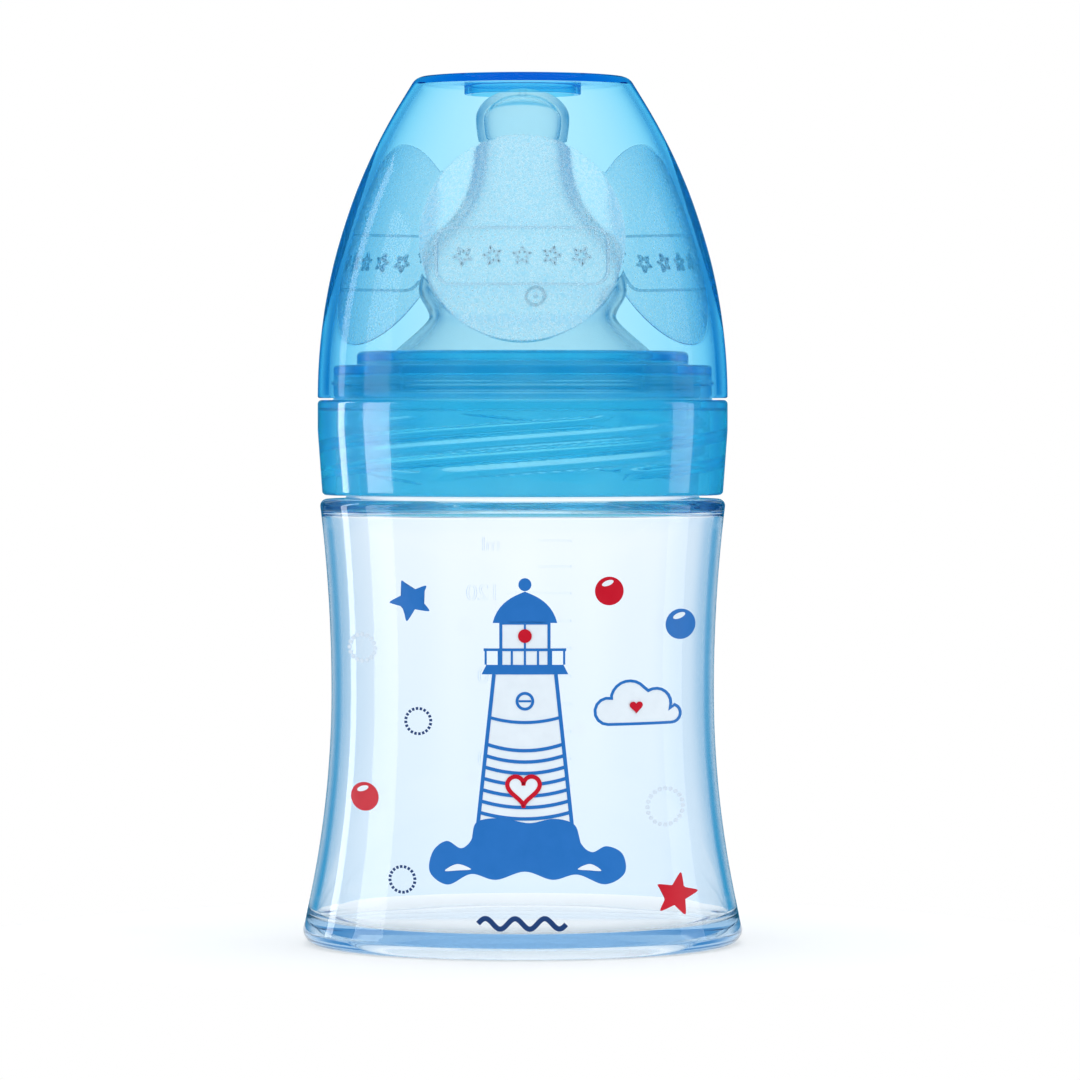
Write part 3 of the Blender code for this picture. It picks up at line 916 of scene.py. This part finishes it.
def oval_grid(cap, work, frost, middle, low, high, columns, rows):
    """One sector of the dome's outside: rings round the oval's centre, then rays out to the
    sector's edges."""
    centre_z = CAP_LOW.z + cap.oval_rise
    half = pi / cap.ovals
    edge = [(-half + 2 * half * i / columns, low) for i in range(columns)]
    edge += [(half, low + (high - low) * i / rows) for i in range(rows)]
    edge += [(half - 2 * half * i / columns, high) for i in range(columns)]
    edge += [(-half, high + (low - high) * i / rows) for i in range(rows)]

    def spot(across, z, sink):
        angle = middle + across
        r = cap_radius(cap, z) - sink
        return work.verts.new((r * cos(angle), r * sin(angle), z))

    def on_ring(reach, angle):
        z = centre_z + reach * sin(angle)
        return asin(reach * cos(angle) / cap_radius(cap, z)), z

    belt = cap_radius(cap, centre_z)
    bearings = []
    for across, z in edge:
        away = Vector((across * belt, z - centre_z))
        bearings.append(Vector((1, 0)).angle_signed(away) * -1)
    shoulder = 0.00045
    radii = [cap.oval_radius * i / 16 for i in range(1, 16)]
    radii = [r for r in radii if r < cap.oval_radius - shoulder - 0.0003]
    radii += [cap.oval_radius - shoulder * (1 - i / 6) for i in range(7)]
    centre = spot(0, centre_z, cap.oval_depth)
    centre[frost] = 1
    rings = []
    for reach in radii:
        share = smooth_step((cap.oval_radius - reach) / shoulder)
        ring = []
        for bearing in bearings:
            vert = spot(*on_ring(reach, bearing), cap.oval_depth * share)
            vert[frost] = 1 if share > 0.5 else 0
            ring.append(vert)
        rings.append(ring)
    for i in range(1, 13):
        share = i / 12
        ring = []
        for bearing, (across, z) in zip(bearings, edge):
            near = on_ring(cap.oval_radius, bearing)
            far_a = near[0] + (across - near[0]) * share
            far_z = near[1] + (z - near[1]) * share
            ring.append(spot(far_a, far_z, 0))
        rings.append(ring)
    count = len(edge)
    for i in range(count):
        j = (i + 1) % count
        work.faces.new((centre, rings[0][i], rings[0][j]))
        for inner, outer in zip(rings, rings[1:]):
            work.faces.new((inner[i], outer[i], outer[j], inner[j]))


class MakeCap(Operator):
    """Make the clear dome cap with its frosted ovals, framed plates and sealing ring"""

    bl_idname = "baby_bottle.cap"
    bl_label = "Cap"

    def execute(self, context):
        cap = settings().cap
        columns, rows = 48, 40  # along the edges of each oval's sector
        sides = columns * cap.ovals
        low, high = CAP_LOW.z, CAP_HIGH.z
        side_low = low + 0.0006
        side_high = high - 1.5 * cap.top_corner
        ceiling = high - cap.top_wall
        bore = CAP_HIGH.x - cap.wall
        ring_inner = cap.ring_radius - cap.ring_wall
        top = [
            (0, high, 0),
            (cap.ring_radius, high, 0),
            (cap_radius(cap, high - 0.0002), high, cap.top_corner),
            (cap_radius(cap, side_high), side_high, 0),
        ]
        under = [
            (cap_radius(cap, side_low), side_low, 0),
            (CAP_HIGH.x, low, 0.0005),
            (bore, low, 0.0005),
        ]
        heights = between(ceiling - 0.0018, low + 0.0010, 0.0010)
        under += plain((cap_radius(cap, z) - cap.wall, z) for z in reversed(heights))
        under += [
            (cap_radius(cap, ceiling) - cap.wall, ceiling, 0.0010),
            (cap.ring_radius, ceiling, 0.0002),
            (cap.ring_radius, ceiling - cap.ring_depth, 0.0002),
            (ring_inner, ceiling - cap.ring_depth, 0.0002),
            (ring_inner, ceiling, 0.0002),
            (0, ceiling, 0),
        ]
        work = turned(rounded(top, False), sides, False)
        frost = work.verts.layers.float.new("frost")
        below = turned(rounded(under, False), sides, False)
        dense = below.verts.layers.float.new("dense")
        for vert in below.verts:
            near_ring = abs(hypot(*vert.co.xy) - (cap.ring_radius + ring_inner) / 2)
            if vert.co.z < high and near_ring < 0.6 * cap.ring_wall:
                vert[dense] = 1
        spare = bpy.data.meshes.new("cap_underside")
        below.to_mesh(spare)
        below.free()
        work.from_mesh(spare)
        bpy.data.meshes.remove(spare)
        for i in range(cap.ovals):
            middle = FRONT + 2 * pi * i / cap.ovals
            oval_grid(cap, work, frost, middle, side_low, side_high, columns, rows)
        bmesh.ops.remove_doubles(work, verts=work.verts, dist=1e-6)
        open_edges = [e for e in work.edges if len(e.link_faces) != 2]
        if open_edges:
            raise RuntimeError(f"the cap has {len(open_edges)} open edges")
        make_piece("dome_cap", work, "cap", cap_plastic(), "cap")
        plate_z = (low + cap.oval_rise - cap.plate_drop) / MM

        def floor_of_oval(z):
            return cap_radius(cap, z) - cap.oval_depth

        for i in range(cap.ovals):
            relief = Sheet()
            frame_line = plate_outline(cap.plate_width / MM, cap.plate_height / MM, plate_z, 2.2)
            relief.stroke(frame_line, 0.40, True)
            for k in range(-2, 3):
                outline = star(k * 4.3, plate_z, 1.45, 0.25 * k)
                relief.stroke(outline, 0.38, True)
            facing = FRONT + 2 * pi * i / cap.ovals
            layer = relief.wrap(floor_of_oval, facing, -0.04 * MM, 0.26 * MM)
            make_piece(f"cap_plate_{i + 1}", layer, "cap", raised_plastic())
        return {"FINISHED"}


def print_on_body(name, sheet, layer, ink_name):
    """Wraps a sheet of ink on the body's front, layers being stacked outwards."""
    body = settings().body
    low = INK_LIFT + INK_STEP * layer
    wrapped = sheet.wrap(lambda z: body_radius(body, z), FRONT, low, low + INK_THICKNESS)
    make_piece(name, wrapped, "bottle", ink(ink_name))


class PrintMarks(Operator):
    """Print the stars, balls, dotted rings and wave round the picture"""

    bl_idname = "baby_bottle.marks"
    bl_label = "Stars, balls and rings"

    RING_RADIUS = 1.85
    DASHES = 20

    def glint(self, x, z, radius):
        """Slanting oval highlight near the top of a ball."""
        lean = 0.35
        points = []
        for unit_x, unit_z in circle(0, 0, 1, 24):
            along, across = unit_x * radius * 0.42, unit_z * radius * 0.18
            glint_x = x - radius * 0.12 + along * cos(lean) - across * sin(lean)
            glint_z = z + radius * 0.55 + along * sin(lean) + across * cos(lean)
            points.append((glint_x, glint_z))
        return points

    def dashed_ring(self, sheet, x, z):
        sweep = 2 * pi / self.DASHES * 0.62
        for i in range(self.DASHES):
            first = 2 * pi * i / self.DASHES
            arc = []
            for k in range(4):
                angle = first + sweep * k / 3
                arc.append((x + self.RING_RADIUS * cos(angle), z + self.RING_RADIUS * sin(angle)))
            sheet.stroke(arc, 0.42)

    def execute(self, context):
        print_blue, print_red, print_navy = Sheet(), Sheet(), Sheet()
        print_white, print_pale = Sheet(), Sheet()
        print_blue.fill(star(-16.3, 52.2, 3.6, radians(-25)))
        print_red.fill(star(22.6, 8.9, 3.7, radians(12)))
        balls = (
            (print_red, 12.7, 53.6, 2.1),
            (print_blue, 23.3, 48.5, 2.25),
            (print_red, -23.2, 23.1, 2.1),
        )
        for sheet, x, z, radius in balls:
            sheet.fill(circle(x, z, radius))
            print_white.fill(self.glint(x, z, radius))
        for x, z, radius, beads in ((-23.6, 45.0, 1.95, 16), (21.0, 21.8, 2.65, 20)):
            for bead_x, bead_z in circle(x, z, radius, beads):
                print_pale.fill(circle(bead_x, bead_z, 0.32, 10))
        for x, z in ((-15.2, 34.5), (-17.5, 11.4)):
            self.dashed_ring(print_navy, x, z)
        half, tall, wave_length = 6.4, 0.75, 4.3
        wave = []
        for i in range(61):
            x = -half + 2 * half * i / 60
            wave.append((x, 5.4 + tall * sin(2 * pi * (x + half) / wave_length)))
        print_navy.stroke(wave, 0.75)
        print_on_body("print_marks_blue", print_blue, 0, "blue_ink")
        print_on_body("print_marks_red", print_red, 0, "red_ink")
        print_on_body("print_marks_navy", print_navy, 0, "navy_ink")
        print_on_body("print_marks_white", print_white, 1, "white_ink")
        print_on_body("print_marks_pale", print_pale, 0, "pale_ink")
        return {"FINISHED"}


class PrintPicture(Operator):
    """Print the striped lighthouse on its rocks, with a heart and a cloud"""

    bl_idname = "baby_bottle.picture"
    bl_label = "Lighthouse picture"

    MIDDLE = 0.4
    FOOT, TOP = 19.0, 41.5
    FOOT_HALF, TOP_HALF = 6.9, 4.5
    LINE = 0.55

    def half_width(self, z):
        share = (z - self.FOOT) / (self.TOP - self.FOOT)
        return self.FOOT_HALF + (self.TOP_HALF - self.FOOT_HALF) * share

    def band(self, z, half, bow, count=14):
        """Line across the round tower, bowed down in its middle."""
        points = []
        for i in range(count + 1):
            side = -1 + 2 * i / count
            points.append((self.MIDDLE + side * half, z - bow * (1 - side**2)))
        return points

    def cloud(self, x, z, size):
        points = []
        arcs = ((-4.3, 0.0, 1.9, 270, 75), (-1.2, 1.6, 2.7, 165, 40), (2.6, 0.9, 2.2, 120, -20))
        arcs += ((4.9, -0.6, 1.3, 70, -90),)
        for cx, cz, radius, first, last in arcs:
            for i in range(9):
                angle = radians(first + (last - first) * i / 8)
                points.append(
                    (x + size * (cx + radius * cos(angle)), z + size * (cz + radius * sin(angle)))
                )
        return points

    def execute(self, context):
        under, lines, patch, accent = Sheet(), Sheet(), Sheet(), Sheet()
        x = self.MIDDLE
        tower = [(x - self.FOOT_HALF, self.FOOT), (x - self.TOP_HALF, self.TOP)]
        tower += [(x + self.TOP_HALF, self.TOP), (x + self.FOOT_HALF, self.FOOT)]
        under.fill(tower)
        lines.stroke(tower[:2], self.LINE)
        lines.stroke(tower[2:], self.LINE)
        for i in range(7):
            z = 21.4 + 1.65 * i
            lines.stroke(self.band(z, self.half_width(z) - 0.1, 0.9), 0.5)
        lines.stroke(self.band(35.2, self.half_width(35.2) - 0.1, 0.7), 0.45)
        lines.stroke(circle(x, 37.6, 1.15, 28), 0.42, True)
        lines.stroke([(x - 0.9, 37.6), (x + 0.9, 37.6)], 0.3)
        gallery = [(x - 6.3, 41.5), (x + 6.3, 41.5), (x + 5.6, 42.9), (x - 5.6, 42.9)]
        lines.fill(gallery)
        lines.stroke([(x - 6.0, 45.1), (x + 6.0, 45.1)], 0.4)
        for k in range(-3, 4):
            lines.stroke([(x + k * 1.9, 42.9), (x + k * 1.9, 45.1)], 0.32)
        lamp = [(x - 3.5, 42.9), (x - 3.5, 49.0), (x + 3.5, 49.0), (x + 3.5, 42.9)]
        under.fill(lamp)
        lines.stroke(lamp, 0.45)
        lines.stroke([(x, 45.3), (x, 49.0)], 0.3)
        roof = [(x - 4.7, 49.0)]
        roof += bezier((x - 4.7, 49.0), (x - 3.9, 52.2), (x - 1.4, 53.0), (x, 53.6), 10)
        roof += bezier((x, 53.6), (x + 1.4, 53.0), (x + 3.9, 52.2), (x + 4.7, 49.0), 10)
        lines.fill(roof[1:] + roof[:1])
        lines.fill(circle(x, 54.6, 0.95, 24))
        rocks = [(-13.4, 12.6), (-13.0, 15.6), (-11.0, 17.2), (-8.9, 16.2), (-7.4, 17.4)]
        rocks += [(-6.6, 20.0), (-3.0, 20.6), (1.0, 19.9), (4.6, 20.5), (7.6, 19.6), (8.6, 16.8)]
        rocks += [(10.2, 15.6), (12.3, 16.4), (14.6, 15.2), (14.9, 12.4), (12.0, 10.9)]
        rocks += [(8.0, 12.4), (4.4, 11.7), (0.4, 12.9), (-3.8, 11.7), (-7.4, 12.5), (-10.8, 10.9)]
        lines.fill(smooth_loop(rocks))
        foam = smooth_loop([(-11.2, 12.9), (-9.4, 13.9), (-7.4, 13.2), (-9.2, 13.0)], 6)
        patch.fill(foam)
        patch.fill([(12.6 - fx * 0.9 - 11.2, fz) for fx, fz in foam][::-1])
        cloud = self.cloud(16.9, 36.0, 1.02)
        under.fill(cloud)
        lines.stroke(cloud, 0.42, True)
        red_heart = heart(0.2, 24.9, 4.7)
        patch.fill(red_heart)
        accent.stroke(red_heart, 0.62, True)
        accent.fill(circle(x, 47.1, 1.0, 24))
        accent.fill(heart(16.6, 36.6, 1.9))
        print_on_body("picture_white", under, 0, "white_ink")
        print_on_body("picture_blue", lines, 1, "blue_ink")
        print_on_body("picture_patches", patch, 2, "white_ink")
        print_on_body("picture_red", accent, 3, "red_ink")
        return {"FINISHED"}


class MakeScale(Operator):
    """Mould the measuring scale on the back, at heights worked out from the inside volume"""

    bl_idname = "baby_bottle.scale"
    bl_label = "Measuring scale"

    FIRST, LAST, STEP, LONG_STEP = 20, 150, 10, 30  # millilitres
    LINE_START, NUMERAL_START = -7.5, 3.6
    LONG_LINE, SHORT_LINE = 10.0, 5.2

    def height_for(self, millilitres):
        """Level of the liquid, added up in thin slices from the floor."""
        body = settings().body
        z = body.push_up + body.floor
        held = 0
        slice_height = 0.0001
        while held < millilitres * 1e-6:
            inner = body_radius(body, z) - body.wall
            held += pi * inner**2 * slice_height
            z += slice_height
        return z / MM

    def digits(self, sheet, text, x, z, size):
        """Adds generic numerals, read from outside."""
        curve = bpy.data.curves.new("numerals", "FONT")
        curve.body = text
        curve.size = size
        curve.align_y = "CENTER"
        holder = bpy.data.objects.new("numerals", curve)
        bpy.context.scene.collection.objects.link(holder)
        graph = bpy.context.evaluated_depsgraph_get()
        mesh = bpy.data.meshes.new_from_object(holder.evaluated_get(graph))
        first = len(sheet.work.verts)
        sheet.work.from_mesh(mesh)
        sheet.work.verts.ensure_lookup_table()
        for vert in sheet.work.verts[first:]:
            vert.co = Vector((x + vert.co.x, 0, z + vert.co.y))
        bpy.data.objects.remove(holder)
        bpy.data.curves.remove(curve)
        bpy.data.meshes.remove(mesh)

    def execute(self, context):
        sheet = Sheet()
        for amount in range(self.FIRST, self.LAST + 1, self.STEP):
            z = self.height_for(amount)
            long_mark = amount % self.LONG_STEP == 0
            reach = self.LONG_LINE if long_mark else self.SHORT_LINE
            sheet.stroke([(self.LINE_START, z), (self.LINE_START + reach, z)], 0.4)
            if long_mark:
                self.digits(sheet, str(amount), self.NUMERAL_START, z, 3.6)
        unit_z = self.height_for(self.LAST) - 4.6
        self.digits(sheet, "ml", self.NUMERAL_START, unit_z, 3.0)
        bmesh.ops.remove_doubles(sheet.work, verts=sheet.work.verts, dist=1e-4)
        body = settings().body
        layer = sheet.wrap(lambda z: body_radius(body, z), BACK, -0.03 * MM, 0.14 * MM)
        make_piece("moulded_scale", layer, "bottle", body_plastic())
        return {"FINISHED"}


class SetStage(Operator):
    """Lay the pale floor, light it softly and place the camera"""

    bl_idname = "baby_bottle.stage"
    bl_label = "Stage"

    PANELS = 8.0
    PANEL_WHITE = (0.98, 0.99, 1.0, 1.0)
    LOW_BLUE = (0.60, 0.80, 0.97, 1.0)  # panels just under the horizon
    GAP_BLUE = (0.015, 0.31, 0.58, 1.0)
    MIRROR_PANEL = (0.02, 0.22, 0.38, 1.0)
    MIRROR_GAP = (0.0, 0.13, 0.24, 1.0)
    GLOW = 1.1
    SIDE_LAMPS = (  # name, degrees round to the right, size, watts
        ("left_softbox", -88, (0.20, 0.42), 1.6),
        ("left_strip", -120, (0.07, 0.42), 0.6),
        ("right_softbox", 100, (0.18, 0.42), 0.6),
    )
    SIDE_HEIGHT, SIDE_DISTANCE = 0.16, 0.55
    LAMP_AIM = (0, 0, 0.07)

    def floor(self, stage):
        work = bmesh.new()
        bmesh.ops.create_circle(work, cap_ends=True, segments=96, radius=stage.floor_radius)
        mesh = bpy.data.meshes.new("floor")
        work.to_mesh(mesh)
        work.free()
        mesh.materials.append(pale_floor("pale_floor"))
        thing = bpy.data.objects.new("floor", mesh)
        thing.location.z = -0.02 * MM
        bpy.context.scene.collection.objects.link(thing)

    def light(self, name, azimuth, height, distance, size, power, gloss_only):
        data = bpy.data.lights.new(name, "AREA")
        data.shape = "RECTANGLE"
        data.size, data.size_y = size
        data.energy = power
        lamp = bpy.data.objects.new(name, data)
        angle = radians(azimuth)
        lamp.location = (distance * sin(angle), -distance * cos(angle), height)
        aim = Vector(self.LAMP_AIM) - lamp.location
        lamp.rotation_euler = aim.to_track_quat("-Z", "Y").to_euler()
        lamp.visible_camera = False
        lamp.visible_transmission = not gloss_only
        lamp.visible_diffuse = not gloss_only
        bpy.context.scene.collection.objects.link(lamp)

    def world(self):
        """White panels all round with blue gaps between them, which give clear walls their dark
        edges. Polished walls mirror two darker blues, and the camera sees plain white."""
        world = bpy.data.worlds.new("studio")
        bpy.context.scene.world = world
        sky = Finish("studio", world)
        direction = sky.node("ShaderNodeTexCoord", output="Generated")
        across = sky.node("ShaderNodeSeparateXYZ", None, {0: direction}, "X")
        depth, up = across.beside("Y"), across.beside("Z")
        azimuth = across.math("ARCTAN2", across, depth)
        ripple = 0.5 - 0.5 * azimuth.math("COSINE", azimuth * self.PANELS)
        level = 1.0 - up.math("ABSOLUTE", up)
        gap = ripple**0.8 * level**2.0
        below = up.math("MULTIPLY", up, -9.0, clamp=True)
        fading = up.math("MULTIPLY", up + 0.15, 14.0, clamp=True)
        white = sky.mix(0.8 * below * fading, self.PANEL_WHITE, self.LOW_BLUE)
        panels = sky.mix(gap, white, self.GAP_BLUE)
        mirrored = sky.mix(gap, self.MIRROR_PANEL, self.MIRROR_GAP)
        mirrors = sky.light_path("Is Glossy Ray") * (1.0 - sky.light_path("Is Transmission Ray"))
        tone = sky.mix(mirrors, panels, mirrored)
        glow = sky.node("ShaderNodeBackground", None, {0: tone, 1: self.GLOW})
        plain_white = sky.node("ShaderNodeBackground", None, {0: WHITE, 1: 1.0})
        surface = sky.blend(sky.light_path("Is Camera Ray"), glow, plain_white)
        sky.done(surface, end="ShaderNodeOutputWorld")

    def execute(self, context):
        stage = settings().stage
        scene = bpy.context.scene
        self.floor(stage)
        self.world()
        for name, azimuth, size, power in self.SIDE_LAMPS:
            self.light(name, azimuth, self.SIDE_HEIGHT, self.SIDE_DISTANCE, size, power, True)
        self.light("top_light", 0, 0.75, 0.05, (0.7, 0.7), 1.3, False)
        data = bpy.data.cameras.new("camera")
        data.lens = stage.lens
        data.sensor_width = 36
        data.clip_start, data.clip_end = 0.01, 10
        camera = bpy.data.objects.new("camera", data)
        scene.collection.objects.link(camera)
        camera.location = (stage.shift_side, -stage.camera_distance, stage.camera_height)
        aim = Vector((stage.shift_side, 0, stage.aim_height)) - camera.location
        camera.rotation_euler = aim.to_track_quat("-Z", "Y").to_euler()
        scene.camera = camera
        scene.view_settings.view_transform = "Standard"
        scene.cycles.max_bounces = 40
        scene.cycles.transmission_bounces = 40
        scene.cycles.glossy_bounces = 40
        scene.cycles.transparent_max_bounces = 16
        scene.cycles.diffuse_bounces = 4
        scene.cycles.sample_clamp_indirect = 6
        return {"FINISHED"}


# ---------------------------------------------------------------- add-on
OPERATORS = (
    MakeBody,
    MakeTeat,
    MakeCollar,
    MakeCap,
    PrintMarks,
    PrintPicture,
    MakeScale,
    SetStage,
)


class BottlePanel(Panel):
    """Lists the steps that make the bottle"""

    bl_idname = "VIEW3D_PT_baby_bottle"
    bl_label = "Baby Bottle"
    bl_space_type = "VIEW_3D"
    bl_region_type = "UI"
    bl_category = "Baby Bottle"

    def draw(self, context):
        column = self.layout.column(align=True)
        for operator in OPERATORS:
            column.operator(operator.bl_idname)
        for group in BottleSettings.__annotations__:
            box = self.layout.box()
            box.label(text=group.capitalize())
            sizes = getattr(context.scene.baby_bottle, group)
            for key in sizes.__annotations__:
                box.prop(sizes, key)


GROUPS = (BodySizes, ThreadSizes, TeatSizes, CollarSizes, CapSizes, Finishes, StageSizes)
CLASSES = GROUPS + (BottleSettings,) + OPERATORS + (BottlePanel,)


def register():
    for one in CLASSES:
        bpy.utils.register_class(one)
    bpy.types.Scene.baby_bottle = PointerProperty(type=BottleSettings)


def unregister():
    del bpy.types.Scene.baby_bottle
    for one in reversed(CLASSES):
        bpy.utils.unregister_class(one)


def main():
    register()
    bpy.ops.baby_bottle.stage()
    bpy.ops.baby_bottle.body()
    bpy.ops.baby_bottle.teat()
    bpy.ops.baby_bottle.collar()
    bpy.ops.baby_bottle.cap()
    bpy.ops.baby_bottle.marks()
    bpy.ops.baby_bottle.picture()
    bpy.ops.baby_bottle.scale()


if __name__ == "__main__":
    main()
